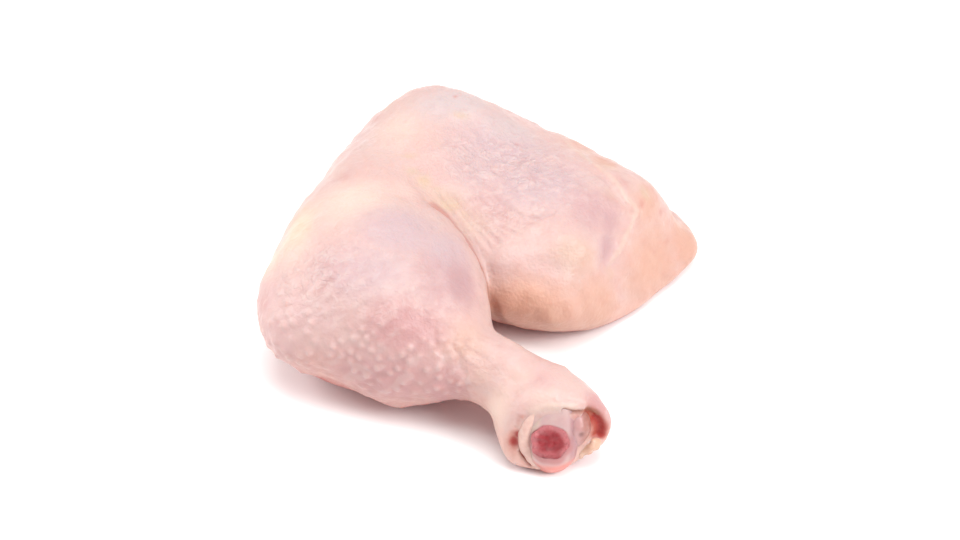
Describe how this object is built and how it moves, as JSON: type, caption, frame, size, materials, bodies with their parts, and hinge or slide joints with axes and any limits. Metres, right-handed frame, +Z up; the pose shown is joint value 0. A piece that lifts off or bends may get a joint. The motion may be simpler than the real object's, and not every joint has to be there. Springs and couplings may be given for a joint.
{
  "type": "raw chicken leg",
  "caption": "Raw whole chicken leg with skin, thigh and drumstick in one piece bent at the knee, bone and marrow showing at the cut knuckle.",
  "frame": {"origin": "centre of the footprint's bounding rectangle, on the surface that the leg lies on", "axes": "+Z up; -Y is the side that the drumstick's cut knuckle points to; +X is the side of the thigh's hip end"},
  "size_m": [0.1246, 0.135, 0.0454],
  "materials": {
    "skin": "moist, soft gloss, pimpled",
    "cartilage": "wet, smooth",
    "marrow": "wet, grainy",
    "tendon": "smooth, moist",
    "meat": "moist",
    "fat": "greasy"
  },
  "bodies": {
    "root": {"skin_and_meat": "skin", "shin_bone": "cartilage", "bone_marrow": "marrow", "tendon": "tendon", "cut_meat": "meat", "cut_fat": "fat"}
  },
  "joints": []
}
